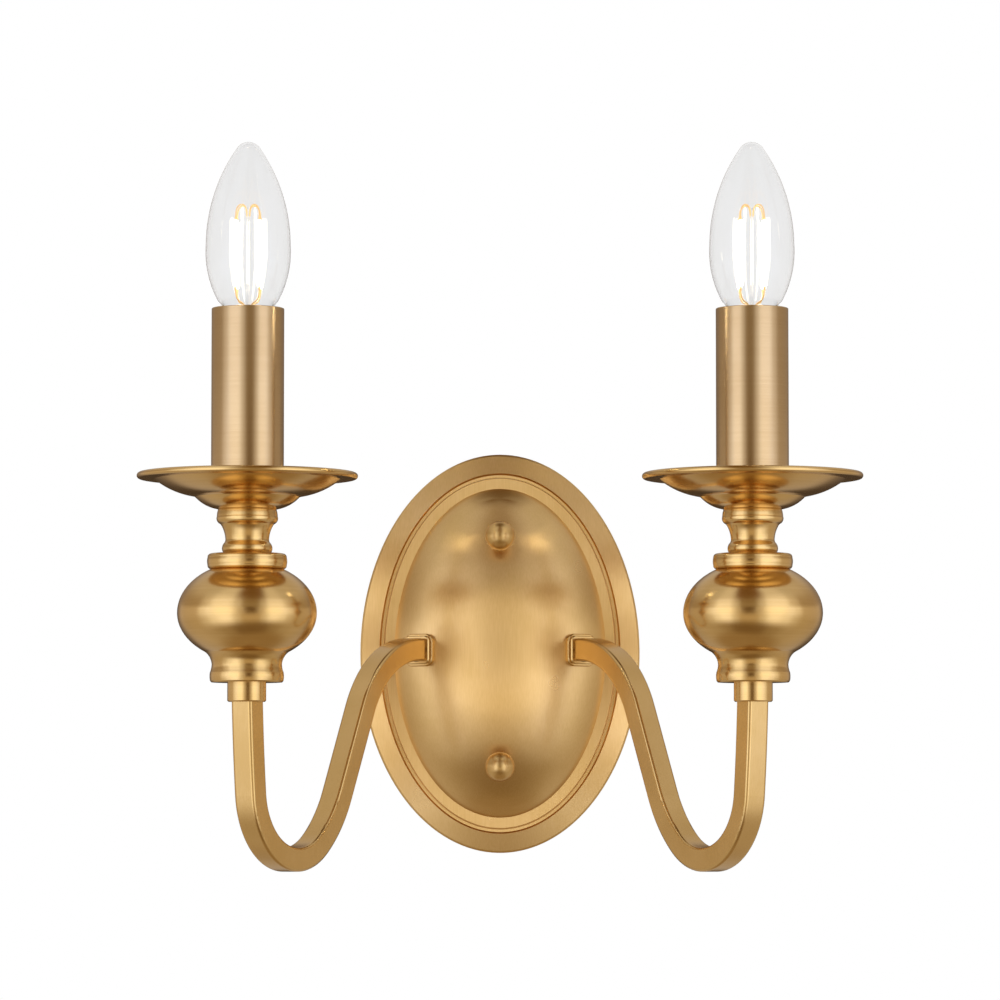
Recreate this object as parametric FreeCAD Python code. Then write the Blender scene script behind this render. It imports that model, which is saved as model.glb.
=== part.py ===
import FreeCAD, Part
import math
import os

from FreeCAD import Vector

# A double arm wall sconce, in millimetres. X is to the right, Y into the wall, Z up.
# The origin is the middle of the back plate, on the wall. Every piece lies at Y <= 0.

OUT = "parts"

# Wall and back plate: half width, half height and depth of each ring of the pressed oval
SHEET = 1.0
PLATE_HALF_WIDTH = 61.2
PLATE_HALF_HEIGHT = 87.3
RIM_DEPTH = 7.0
BAND_WIDTH = 8.4
BAND_RISE = 1.6
GROOVE_WIDTH = 1.8
GROOVE_DEPTH = 1.4
INNER_BAND_RISE = 2.4
DOME_EDGE_HALF_WIDTH = 46.1
DOME_EDGE_HALF_HEIGHT = 71.9
DOME_HALF_WIDTH = 48.0
DOME_HEIGHT = 28.2
RIM_ROUND = 0.8

# Arms: a square tube bent in one upright plane, which stands at ARM_SPREAD to the wall
ARM_SIDE = 10.0
ARM_WALL = 1.0
ARM_ARRIS = 1.4
ARM_SPREAD = 58.67
ARM_ROOT_X = 34.5
ARM_ROOT_Z = 0.8
ARM_LEVEL_RUN = 6.2
SHOULDER_RADIUS = 46.8
SHOULDER_TURN = 64.2
ARM_SLOPE_RUN = 40.6
LEAD_IN_RADIUS = 58.7
LEAD_IN_TURN = 26.5
BOW_RADIUS = 29.8
RISE_RADIUS = 632.0
RISE_TURN = 5.7
ARM_TOP_Z = -20.0
ARM_THREAD_LENGTH = 8.5
FERRULE_SIDE = 14.2
FERRULE_THICKNESS = 3.6
FERRULE_LIP_SIDE = 12.4

# Turned and spun pieces on each candle axis, from the collar up: heights and radii
COLLAR_BOTTOM = -24.3
COLLAR_RADIUS = 8.0
SPIGOT_RADIUS = 6.6
SPIGOT_TOP = -8.8
KNOP_BOTTOM = -16.3
KNOP_FOOT_RADIUS = 15.2
KNOP_FOOT_TOP = -12.2
KNOP_WAIST_RADIUS = 14.45
KNOP_WAIST_Z = -9.0
KNOP_COVE_RADIUS = 17.2
KNOP_CENTRE_Z = 12.3
KNOP_RADIUS = 28.75
KNOP_RISE = 21.1
KNOP_DROP = 20.1
KNOP_MOUTH = 15.0
KNOP_WALL = 1.4
KNOP_FLOOR = 1.2
RING_RADIUS = 16.5
NECK_BOTTOM = 36.7
NECK_BEAD_RADIUS = 10.4
NECK_BEAD_TOP = 41.0
NECK_WAIST_RADIUS = 9.0
NECK_WAIST_Z = 42.6
NECK_COVE_TOP = 48.2
NECK_GROOVE_Z = 48.9
NECK_TORUS_RADIUS = 12.55
PAN_BOTTOM = 55.2
PAN_SHEET = 0.8
PAN_RIM_RADIUS = 45.6
PAN_RIM_Z = 68.8
PAN_BEAD = 1.3
LOWER_BOWL = ((12.9, PAN_BOTTOM), (18.7, 57.6), (21.6, 60.1))
UPPER_BOWL = ((22.5, 60.5), (31.6, 63.2), (38.3, 67.4))
TUBE_TOP = 138.2
TUBE_RADIUS = 15.0
TUBE_SHEET = 0.8

# Threaded hardware: thread radii are the plain major radii
M10 = 5.0
M10_BORE = 3.6
M4 = 2.0
STUD_PITCH = 100.0
STUD_TIP = 34.2
NUT_CLEARANCE = 0.06
BALL_RADIUS = 6.4
BALL_CENTRE = 34.2
NUT_BASE = 27.2
SEAT_FRONT = 26.4
STEM_BOTTOM = -19.0
STEM_TOP = 86.0

# Wall bracket: a steel strap with its ends set forward
STRAP_WIDTH = 22.0
STRAP_SHEET = 2.0
STRAP_HALF_LENGTH = 59.0
STRAP_STEP = 4.0
STEP_START_Z = 38.0
SLOT_PITCH = 60.0
SLOT_RADIUS = 2.25
SLOT_LENGTH = 12.0
CABLE_HOLE_RADIUS = 5.5
CABLE_HOLE_Z = 9.5
EARTH_Z = 19.5

# Terminal block on the strap: three poles, one above the other
BLOCK_HALF_WIDTH = 9.0
BLOCK_DEPTH = 12.0
BLOCK_POLES = (-18.0, -10.0, -2.0)
BLOCK_WAY_RADIUS = 1.7
BLOCK_WELL_RADIUS = 1.9

# Lampholder and lamp, both with the 14 mm screw cap
HOLDER_BOTTOM = 78.0
HOLDER_TOP = 130.0
HOLDER_RADIUS = 12.0
HOLDER_FLOOR = 105.0
HOLDER_BORE = 3.0
HOLDER_BORE_FOOT = 92.0
SHELL_TOP = 127.0
SHELL_RADIUS = 8.0
SHELL_BORE = 7.15
CONTACT_FOOT = 96.0
CAP_RADIUS = 6.95
CAP_LIP = 7.9
CAP_SHEET = 0.3
GLASS_FOOT_RADIUS = 7.4
GLASS_FOOT = 129.36
LAMP_TOP = 207.4
LAMP_RADIUS = 17.5
LAMP_WIDEST_Z = 165.0
GLASS_WALL = 0.8
CAP_TOP = 131.0
CAP_BOTTOM = 112.5
PIP_BOTTOM = 108.8
FILAMENT_CIRCLE = 6.2
FILAMENT_RADIUS = 0.9
FILAMENT_BOTTOM = 146.0
FILAMENT_LENGTH = 31.0
FILAMENTS = 4
POST_RADIUS = 0.9
WIRE_RADIUS = 0.3

FLEX_RADIUS = 1.5
FLEX_RUN = 9.5

SIDES = {"left": -1, "right": 1}
HEIGHTS = {"upper": 1, "lower": -1}
UP = Vector(0, 0, 1)
TO_ROOM = Vector(0, -1, 0)
ORIGIN = Vector(0, 0, 0)
FULL = 360.0

BOW_TURN = 90 + SHOULDER_TURN - LEAD_IN_TURN - RISE_TURN
DOME_HALF_HEIGHT = DOME_HALF_WIDTH * DOME_EDGE_HALF_HEIGHT / DOME_EDGE_HALF_WIDTH
BAND_FRONT = RIM_DEPTH + BAND_RISE
DOME_EDGE_DEPTH = BAND_FRONT + INNER_BAND_RISE
EDGE_RATIO = DOME_EDGE_HALF_WIDTH / DOME_HALF_WIDTH
DOME_CENTRE_Y = DOME_HEIGHT * math.sqrt(1 - EDGE_RATIO**2) - DOME_EDGE_DEPTH
KNOP_TOP = KNOP_CENTRE_Z + KNOP_RISE * math.sqrt(1 - (KNOP_MOUTH / KNOP_RADIUS) ** 2)
RING_BOTTOM = KNOP_TOP
PAN_FLOOR = PAN_BOTTOM + PAN_SHEET


def save(shape, name):
    shape.exportStep(os.path.join(OUT, name + ".step"))


def profile_wire(start, steps):
    """Edges in the plane of radius and height: a pair is a line's end, four numbers an arc."""
    edges = []
    here = Vector(start[0], 0, start[1])
    for step in steps:
        there = Vector(step[-2], 0, step[-1])
        if len(step) == 4:
            middle = Vector(step[0], 0, step[1])
            edges.append(Part.Arc(here, middle, there).toShape())
        else:
            edges.append(Part.LineSegment(here, there).toShape())
        here = there
    return Part.Wire(edges)


def turned(start, *steps):
    """A solid turned about the upright axis from a closed outline."""
    closing = () if tuple(steps[-1][-2:]) == tuple(start) else (tuple(start),)
    wire = profile_wire(start, steps + closing)
    return Part.Face(wire).revolve(ORIGIN, UP, FULL)


def tube(radius, bore, bottom, top):
    """A plain round tube on the upright axis."""
    outer = Part.makeCylinder(radius, top - bottom, Vector(0, 0, bottom))
    inner = Part.makeCylinder(bore, top - bottom, Vector(0, 0, bottom))
    return outer.cut(inner)


def hexagon_nut(across_flats, height, bore, bottom=0.0):
    """A hexagon nut on the upright axis, its corners turned off at the top."""
    corner = across_flats / 2 / math.cos(math.radians(30))
    points = []
    for index in range(7):
        angle = math.radians(60 * index)
        points.append(Vector(corner * math.cos(angle), corner * math.sin(angle), bottom))
    body = Part.Face(Part.makePolygon(points)).extrude(Vector(0, 0, height))
    drop = corner - across_flats / 2
    top = bottom + height
    blank = turned(
        (0, bottom),
        (2 * corner, bottom),
        (2 * corner, top - drop / 2),
        (corner, top - drop / 2),
        (across_flats / 2, top),
        (0, top),
    )
    return body.common(blank).cut(Part.makeCylinder(bore, height, Vector(0, 0, bottom)))


def facing_room(shape, x, z):
    """Turn a shape made along Z to point out of the wall, and put its foot on the wall."""
    turned_shape = shape.copy()
    turned_shape.rotate(ORIGIN, Vector(1, 0, 0), 90)
    turned_shape.translate(Vector(x, 0, z))
    return turned_shape


def arm_heading(side):
    """The level direction in which an arm leaves the back plate."""
    spread = math.radians(ARM_SPREAD)
    return Vector(side * math.cos(spread), -math.sin(spread), 0)


def arm_root(side):
    """The point where an arm's centre line leaves the dome of the back plate."""
    height = math.sqrt(1 - (ARM_ROOT_X / DOME_HALF_WIDTH) ** 2) * DOME_HEIGHT
    return Vector(side * ARM_ROOT_X, DOME_CENTRE_Y - height, ARM_ROOT_Z)


def arm_runs():
    """The bends of an arm's centre line: a length, or a radius with its turn in degrees."""
    runs = [
        (ARM_LEVEL_RUN,),
        (SHOULDER_RADIUS, -SHOULDER_TURN),
        (ARM_SLOPE_RUN,),
        (LEAD_IN_RADIUS, LEAD_IN_TURN),
        (BOW_RADIUS, BOW_TURN),
        (RISE_RADIUS, RISE_TURN),
    ]
    return runs


def run_end(place, heading, run):
    """Where one run ends, and the heading there, in the arm's own upright plane."""
    if len(run) == 1:
        step = Vector(math.cos(heading), 0, math.sin(heading)) * run[0]
        return place + step, heading
    radius, turn = run
    hand = math.copysign(1, turn)
    centre = place + Vector(-math.sin(heading), 0, math.cos(heading)) * radius * hand
    new_heading = heading + math.radians(turn)
    outward = Vector(math.sin(new_heading), 0, -math.cos(new_heading)) * radius * hand
    return centre + outward, new_heading


def arm_reach():
    """Level distance from an arm's root to the candle axis, and the height there."""
    place = Vector(0, 0, ARM_ROOT_Z)
    heading = 0.0
    for run in arm_runs():
        place, heading = run_end(place, heading, run)
    return place.x, place.z


def runs_to_top():
    """The same bends, with the last one stopped at the arm's top end inside the collar."""
    _, rise_end = arm_reach()
    left_out = math.degrees(math.asin((rise_end - ARM_TOP_Z) / RISE_RADIUS))
    return arm_runs()[:-1] + [(RISE_RADIUS, RISE_TURN - left_out)]


def candle_axis(side):
    """The foot of a candle axis, at height zero."""
    reach, _ = arm_reach()
    root = arm_root(side)
    place = root + arm_heading(side) * reach
    return Vector(place.x, place.y, 0)


def sweep_runs(section, place, heading, runs):
    """Carry a flat section along the runs in the plane of X and Z, and join the lengths."""
    lengths = []
    face = section.copy()
    for run in runs:
        if len(run) == 1:
            step = Vector(math.cos(heading), 0, math.sin(heading)) * run[0]
            lengths.append(face.extrude(step))
            face = face.copy()
            face.translate(step)
        else:
            radius, turn = run
            hand = math.copysign(1, turn)
            centre = place + Vector(-math.sin(heading), 0, math.cos(heading)) * radius * hand
            axis = Vector(0, -hand, 0)
            lengths.append(face.revolve(centre, axis, abs(turn)))
            face = face.copy()
            face.rotate(centre, axis, abs(turn))
        place, heading = run_end(place, heading, run)
    return lengths[0].multiFuse(lengths[1:])


def to_arm(shape, side):
    """Move a shape from the plane of X and Z onto an arm, with its root at the dome."""
    moved = shape.copy()
    heading = arm_heading(side)
    angle = math.degrees(math.atan2(heading.y, heading.x))
    moved.rotate(ORIGIN, UP, angle)
    root = arm_root(side)
    moved.translate(Vector(root.x, root.y, 0))
    return moved


def on_axis(shape, side):
    """Move a shape from the upright axis to a candle axis."""
    moved = shape.copy()
    moved.translate(candle_axis(side))
    return moved


def rounded_square(side, arris, x=0.0):
    """An upright square outline across X at the arm's height, its corners rounded."""
    half = side / 2
    flat = half - arris
    bulge = flat + arris * math.sqrt(0.5)
    edges = []
    for quarter in range(4):
        angle = math.radians(90 * quarter)
        cosine = math.cos(angle)
        sine = math.sin(angle)

        def at(a, b):
            return Vector(x, a * cosine - b * sine, ARM_ROOT_Z + a * sine + b * cosine)

        edges.append(Part.LineSegment(at(half, -flat), at(half, flat)).toShape())
        if arris > 0:
            edges.append(Part.Arc(at(half, flat), at(bulge, bulge), at(flat, half)).toShape())
    return Part.Wire(edges)


def ellipse_wire(half_width, half_height, depth):
    """An upright ellipse at a distance in front of the wall."""
    centre = Vector(0, -depth, 0)
    top = Vector(0, -depth, half_height)
    side = Vector(half_width, -depth, 0)
    return Part.Wire(Part.Ellipse(top, side, centre).toShape())


def dome(inset):
    """The oval dome as a solid, taken in by the inset, and cut off behind the dome's edge."""
    ball = Part.makeSphere(1.0)
    stretch = FreeCAD.Matrix()
    stretch.A11 = DOME_HALF_WIDTH - inset
    stretch.A22 = DOME_HEIGHT - inset
    stretch.A33 = DOME_HALF_HEIGHT - inset
    stretch.A24 = DOME_CENTRE_Y
    shape = ball.transformGeometry(stretch)
    depth = DOME_HEIGHT + DOME_EDGE_DEPTH
    front = Part.makeBox(
        2 * DOME_HALF_WIDTH,
        depth,
        2 * DOME_HALF_HEIGHT,
        Vector(-DOME_HALF_WIDTH, -DOME_EDGE_DEPTH + 2 * SHEET - depth, -DOME_HALF_HEIGHT),
    )
    return shape.common(front)


def plate_outside():
    """The front of the back plate as a filled solid: rim, band, groove, inner band, dome."""
    inner_a = DOME_EDGE_HALF_WIDTH
    inner_b = DOME_EDGE_HALF_HEIGHT
    band_a = PLATE_HALF_WIDTH - BAND_WIDTH
    band_b = PLATE_HALF_HEIGHT - BAND_WIDTH
    floor = BAND_FRONT - GROOVE_DEPTH
    step = GROOVE_DEPTH / 2
    rings = [
        (PLATE_HALF_WIDTH, PLATE_HALF_HEIGHT, 0),
        (PLATE_HALF_WIDTH, PLATE_HALF_HEIGHT, RIM_DEPTH - RIM_ROUND),
        (PLATE_HALF_WIDTH - RIM_ROUND, PLATE_HALF_HEIGHT - RIM_ROUND, RIM_DEPTH),
        (band_a, band_b, BAND_FRONT),
        (band_a - step, band_b - step, floor),
        (band_a - GROOVE_WIDTH, band_b - GROOVE_WIDTH, floor),
        (band_a - GROOVE_WIDTH - step, band_b - GROOVE_WIDTH - step, DOME_EDGE_DEPTH),
        (inner_a, inner_b, DOME_EDGE_DEPTH),
    ]
    wires = [ellipse_wire(*ring) for ring in rings]
    return Part.makeLoft(wires, True, True).fuse(dome(0.0))


def plate_inside():
    """The hollow behind the back plate, as a solid."""
    rim_a = PLATE_HALF_WIDTH - SHEET
    rim_b = PLATE_HALF_HEIGHT - SHEET
    groove_a = PLATE_HALF_WIDTH - BAND_WIDTH - GROOVE_WIDTH - SHEET
    groove_b = PLATE_HALF_HEIGHT - BAND_WIDTH - GROOVE_WIDTH - SHEET
    back_of_groove = BAND_FRONT - GROOVE_DEPTH - SHEET
    back_of_edge = DOME_EDGE_DEPTH - SHEET
    rings = [
        (rim_a, rim_b, -SHEET),
        (rim_a, rim_b, RIM_DEPTH - SHEET),
        (groove_a, groove_b, back_of_groove),
        (groove_a - SHEET, groove_b - SHEET, back_of_edge),
        (DOME_EDGE_HALF_WIDTH - SHEET, DOME_EDGE_HALF_HEIGHT - SHEET, back_of_edge),
    ]
    wires = [ellipse_wire(*ring) for ring in rings]
    return Part.makeLoft(wires, True, True).fuse(dome(SHEET))


def arm_hole(side, radius):
    """A round bar through the dome along an arm's axis."""
    heading = arm_heading(side)
    root = arm_root(side)
    return Part.makeCylinder(radius, 24, root - heading * 12, heading)


def back_plate(outside, inside):
    plate = outside.cut(inside)
    for side in SIDES.values():
        plate = plate.cut(arm_hole(side, M10 + 0.2))
    for height in HEIGHTS.values():
        hole = Part.makeCylinder(M4 + 0.3, 60, Vector(0, 0, height * STUD_PITCH / 2), TO_ROOM)
        plate = plate.cut(hole)
    return plate


def wall_bracket():
    """A flat strap with both ends set forward, slots for the wall screws and a cable hole."""
    half = STRAP_WIDTH / 2
    rise = STEP_START_Z + STRAP_STEP
    depth = STRAP_STEP + STRAP_SHEET
    slant = STRAP_SHEET * math.tan(math.radians(22.5))
    back = [(STRAP_STEP, STRAP_HALF_LENGTH), (STRAP_STEP, rise), (0, STEP_START_Z)]
    front = [(STRAP_SHEET, STEP_START_Z - slant), (depth, rise - slant), (depth, STRAP_HALF_LENGTH)]
    upper = back + [(y, -z) for y, z in reversed(back)]
    lower = [(y, -z) for y, z in reversed(front)] + front
    points = [Vector(-half, -y, z) for y, z in upper + lower]
    strap = Part.Face(Part.makePolygon(points + points[:1])).extrude(Vector(STRAP_WIDTH, 0, 0))
    strap = strap.common(rounded_strap_outline(half, depth))
    cable_hole = Vector(0, 0, CABLE_HOLE_Z)
    strap = strap.cut(Part.makeCylinder(CABLE_HOLE_RADIUS, depth, cable_hole, TO_ROOM))
    for end in HEIGHTS.values():
        strap = strap.cut(wall_slot(end * SLOT_PITCH / 2, depth))
        stud = Vector(0, 0, end * STUD_PITCH / 2)
        strap = strap.cut(Part.makeCylinder(M4, depth, stud, TO_ROOM))
    return strap.cut(Part.makeCylinder(M4, depth, Vector(0, 0, EARTH_Z), TO_ROOM))


def rounded_strap_outline(half, depth):
    """A long round-ended slab, which rounds the strap's ends."""
    straight = STRAP_HALF_LENGTH - half
    slab = Part.makeBox(2 * half, depth, 2 * straight, Vector(-half, -depth, -straight))
    for end in HEIGHTS.values():
        slab = slab.fuse(Part.makeCylinder(half, depth, Vector(0, 0, end * straight), TO_ROOM))
    return slab


def wall_slot(z, depth):
    """An upright slot through the strap for a wall screw."""
    half = SLOT_LENGTH / 2 - SLOT_RADIUS
    corner = Vector(-SLOT_RADIUS, -depth, z - half)
    slot = Part.makeBox(2 * SLOT_RADIUS, depth, 2 * half, corner)
    for end in HEIGHTS.values():
        centre = Vector(0, 0, z + end * half)
        slot = slot.fuse(Part.makeCylinder(SLOT_RADIUS, depth, centre, TO_ROOM))
    return slot


def stud():
    """A stud with a flat round head, made along Z with the wall at Z = 0."""
    head_foot = STRAP_STEP - 2.2
    return turned(
        (0, head_foot),
        (3.6, head_foot),
        (3.6, STRAP_STEP),
        (M4, STRAP_STEP),
        (M4, STUD_TIP - 0.5),
        (M4 - 0.5, STUD_TIP),
        (0, STUD_TIP),
    )


def bracket_studs():
    studs = [facing_room(stud(), 0, end * STUD_PITCH / 2) for end in HEIGHTS.values()]
    return Part.makeCompound(studs)


def stud_lock_nuts():
    nut = hexagon_nut(7.0, 3.2, M4, STRAP_STEP + STRAP_SHEET)
    return Part.makeCompound([facing_room(nut, 0, end * STUD_PITCH / 2) for end in (1, -1)])


def nut_seats(outside):
    """Washers whose backs follow the dome, so that the ball nuts pull up square."""
    seats = []
    for end in HEIGHTS.values():
        blank = Part.makeCylinder(5.6, SEAT_FRONT - 15, Vector(0, -15, 0), TO_ROOM)
        bore = Part.makeCylinder(M4 + 0.3, SEAT_FRONT, ORIGIN, TO_ROOM)
        seat = blank.cut(bore)
        seat.translate(Vector(0, 0, end * STUD_PITCH / 2))
        seats.append(seat.cut(outside))
    return Part.makeCompound(seats)


def nut_washer(end):
    ring = tube(4.9, M4 + 0.3, SEAT_FRONT + 0.1, NUT_BASE - 0.1)
    return facing_room(ring, 0, end * STUD_PITCH / 2)


def ball_nut(end):
    """A ball on a short neck with a blind threaded hole from the back."""
    neck = 4.4
    neck_end = BALL_CENTRE - math.sqrt(BALL_RADIUS**2 - neck**2)
    hole = M4 + NUT_CLEARANCE
    nut = turned(
        (0, STUD_TIP + 1.2),
        (hole, STUD_TIP + 0.6),
        (hole, NUT_BASE),
        (neck, NUT_BASE),
        (neck, neck_end),
        (BALL_RADIUS, BALL_CENTRE, 0, BALL_CENTRE + BALL_RADIUS),
    )
    return facing_room(nut, 0, end * STUD_PITCH / 2)


def earth_terminal():
    """The earth screw with its cup washer, on the front of the strap."""
    head_foot = STRAP_SHEET + 1.2
    head_radius = 3.6
    head_top = head_foot + 2.0
    screw = turned(
        (0, 0.3),
        (M4, 0.3),
        (M4, head_foot),
        (head_radius, head_foot),
        (head_radius - 0.4, head_top),
        (0, head_top),
    )
    slot = Part.makeBox(2 * head_radius, 1.0, 1.2, Vector(-head_radius, -0.5, head_top - 1.0))
    washer = tube(4.0, M4, STRAP_SHEET, head_foot)
    pieces = [screw.cut(slot), washer]
    return Part.makeCompound([facing_room(piece, 0, EARTH_Z) for piece in pieces])


def terminal_block():
    """A three-pole terminal block on the strap: level wire ways, screw wells at the front."""
    front = STRAP_SHEET + BLOCK_DEPTH
    axis_depth = STRAP_SHEET + BLOCK_DEPTH / 2
    pole_gap = BLOCK_POLES[1] - BLOCK_POLES[0]
    body = None
    for z in BLOCK_POLES:
        corner = Vector(-BLOCK_HALF_WIDTH, -front, z - pole_gap / 2)
        pole = Part.makeBox(2 * BLOCK_HALF_WIDTH, BLOCK_DEPTH, pole_gap, corner)
        body = pole if body is None else body.fuse(pole)
    for z in BLOCK_POLES:
        start = Vector(-BLOCK_HALF_WIDTH, -axis_depth, z)
        body = body.cut(
            Part.makeCylinder(BLOCK_WAY_RADIUS, 2 * BLOCK_HALF_WIDTH, start, Vector(1, 0, 0))
        )
        for x in (-BLOCK_HALF_WIDTH / 2, BLOCK_HALF_WIDTH / 2):
            mouth = Vector(x, -axis_depth, z)
            well = Part.makeCylinder(BLOCK_WELL_RADIUS, BLOCK_DEPTH / 2, mouth, TO_ROOM)
            body = body.cut(well)
    return body.removeSplitter()


def terminal_screws():
    """The clamping screws, which fill the wells of the terminal block, two to a pole."""
    screws = []
    foot = STRAP_SHEET + BLOCK_DEPTH / 2 + BLOCK_WAY_RADIUS
    for z in BLOCK_POLES:
        for x in (-BLOCK_HALF_WIDTH / 2, BLOCK_HALF_WIDTH / 2):
            screw = Part.makeCylinder(BLOCK_WELL_RADIUS, 3.2, Vector(0, 0, foot))
            screws.append(facing_room(screw, x, z))
    return Part.makeCompound(screws)


def arm_bar(side, wires):
    """A section carried along an arm, from the ferrule at the dome into the collar."""
    start = Vector(0, 0, ARM_ROOT_Z)
    return to_arm(sweep_runs(Part.Face(wires), start, 0.0, runs_to_top()), side)


def arm(side):
    """The bent square tube."""
    outer = rounded_square(ARM_SIDE, ARM_ARRIS)
    inner = rounded_square(ARM_SIDE - 2 * ARM_WALL, 0.0)
    return arm_bar(side, [outer, inner])


def ferrule(side, outside):
    """A pillow-shaped square ring: a bulging back tier, a groove and a narrower front lip.

    Each section is a side, the rounding of its corners and a distance from the arm's root.
    """
    sections = [
        (FERRULE_SIDE - 1.2, 3.0, -3.0),
        (FERRULE_SIDE - 0.4, 3.4, 0.0),
        (FERRULE_SIDE, 3.6, 1.2),
        (FERRULE_SIDE - 0.8, 3.4, 2.2),
    ]
    back = Part.makeLoft([rounded_square(*section) for section in sections], True, False)
    lip_sections = [
        (FERRULE_LIP_SIDE, 2.4, 1.6),
        (FERRULE_LIP_SIDE, 2.4, FERRULE_THICKNESS - 0.5),
        (FERRULE_LIP_SIDE - 0.8, 2.0, FERRULE_THICKNESS),
    ]
    lip = Part.makeLoft([rounded_square(*section) for section in lip_sections], True, True)
    ring = back.fuse(lip)
    length = FERRULE_THICKNESS + 4
    seat = Part.Face(rounded_square(ARM_SIDE, ARM_ARRIS, 0.0)).extrude(Vector(length, 0, 0))
    ring = ring.cut(seat)
    bore = Part.makeCylinder(M10 + 0.2, 2 * length, Vector(-length, 0, ARM_ROOT_Z), Vector(1, 0, 0))
    return to_arm(ring.cut(bore), side).cut(outside)


def arm_nipple(side):
    """The threaded tube that holds an arm to the plate."""
    start = Vector(-ARM_THREAD_LENGTH, 0, ARM_ROOT_Z)
    along = Vector(1, 0, 0)
    length = ARM_THREAD_LENGTH + ARM_LEVEL_RUN - 0.7
    outer = Part.makeCylinder(M10, ARM_THREAD_LENGTH, start, along)
    spigot = Part.makeCylinder(ARM_SIDE / 2 - ARM_WALL, length, start, along)
    bore = Part.makeCylinder(M10_BORE - 0.5, length, start, along)
    return to_arm(outer.fuse(spigot).cut(bore), side)


def arm_washer(side, inside):
    """A broad washer behind the dome, its face pressed to the dome's curve."""
    along = Vector(1, 0, 0)
    disc = Part.makeCylinder(8.0, 4.2, Vector(-3.2, 0, ARM_ROOT_Z), along)
    hole = Part.makeCylinder(M10, 4.2, Vector(-3.2, 0, ARM_ROOT_Z), along)
    return to_arm(disc.cut(hole), side).common(inside)


def arm_lock_nut(side):
    nut = hexagon_nut(14.0, 2.8, M10)
    nut.rotate(ORIGIN, Vector(0, 1, 0), -90)
    nut.translate(Vector(-3.2, 0, ARM_ROOT_Z))
    return to_arm(nut, side)


def arm_collar(side):
    """The round collar that joins an arm to the knop: square socket below, thread above."""
    body = turned(
        (M10_BORE, COLLAR_BOTTOM),
        (COLLAR_RADIUS - 0.5, COLLAR_BOTTOM),
        (COLLAR_RADIUS, COLLAR_BOTTOM + 0.5),
        (COLLAR_RADIUS, KNOP_BOTTOM),
        (SPIGOT_RADIUS, KNOP_BOTTOM),
        (SPIGOT_RADIUS, SPIGOT_TOP),
        (M10, SPIGOT_TOP),
        (M10, STEM_BOTTOM),
        (M10_BORE, STEM_BOTTOM),
    )
    bar = arm_bar(side, [rounded_square(ARM_SIDE, ARM_ARRIS)])
    return on_axis(body, side).cut(bar)


def quarter_oval(rise, radius):
    """The knop's outer line from its widest point up by the rise, to a smaller radius."""
    centre = Vector(0, 0, KNOP_CENTRE_Z)
    widest = Vector(KNOP_RADIUS, 0, KNOP_CENTRE_Z)
    oval = Part.Ellipse(widest, centre + UP * rise, centre)
    return Part.ArcOfEllipse(oval, 0, math.acos(radius / KNOP_RADIUS)).toShape()


def knop():
    """The spun ball with its flared foot, hollow inside, from the collar to the ring."""
    upper = quarter_oval(KNOP_RISE, KNOP_MOUTH)
    lower = quarter_oval(KNOP_DROP, KNOP_COVE_RADIUS)
    lower = lower.mirror(Vector(0, 0, KNOP_CENTRE_Z), UP)
    cove_z = KNOP_CENTRE_Z - KNOP_DROP * math.sqrt(1 - (KNOP_COVE_RADIUS / KNOP_RADIUS) ** 2)
    ceiling = KNOP_TOP - 2.0
    throat = KNOP_WAIST_RADIUS - KNOP_WALL
    bore = SPIGOT_RADIUS + 0.2
    inside_and_foot = profile_wire(
        (KNOP_MOUTH, KNOP_TOP),
        [
            (M10, KNOP_TOP),
            (M10, ceiling),
            (KNOP_MOUTH - KNOP_WALL, ceiling),
            (KNOP_RADIUS - KNOP_WALL, KNOP_CENTRE_Z, throat, cove_z + KNOP_WALL),
            (throat, KNOP_BOTTOM + KNOP_FLOOR),
            (bore, KNOP_BOTTOM + KNOP_FLOOR),
            (bore, KNOP_BOTTOM),
            (KNOP_FOOT_RADIUS - 0.6, KNOP_BOTTOM),
            (KNOP_FOOT_RADIUS - 0.1, KNOP_BOTTOM + 0.6),
            (KNOP_FOOT_RADIUS + 0.1, KNOP_FOOT_TOP - 1.7, KNOP_FOOT_RADIUS - 0.05, KNOP_FOOT_TOP),
            (KNOP_WAIST_RADIUS + 0.25, KNOP_WAIST_Z - 1.8, KNOP_WAIST_RADIUS, KNOP_WAIST_Z),
            (KNOP_WAIST_RADIUS + 0.85, KNOP_WAIST_Z + 3.0, KNOP_COVE_RADIUS, cove_z),
        ],
    )
    edges = [upper] + lower.Edges + inside_and_foot.Edges
    return Part.Face(Part.Wire(Part.__sortEdges__(edges))).revolve(ORIGIN, UP, FULL)


def knop_ring():
    """The rounded ring between the ball and the neck."""
    middle = (RING_BOTTOM + NECK_BOTTOM) / 2
    flat = RING_RADIUS - 1.6
    bulge = RING_RADIUS - 0.55
    shoulder = RING_RADIUS - 0.2
    return turned(
        (M10, RING_BOTTOM),
        (flat, RING_BOTTOM),
        (bulge, RING_BOTTOM + 0.5, shoulder, RING_BOTTOM + 1.6),
        (RING_RADIUS, middle, shoulder, NECK_BOTTOM - 1.6),
        (bulge, NECK_BOTTOM - 0.5, flat, NECK_BOTTOM),
        (M10, NECK_BOTTOM),
    )


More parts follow.
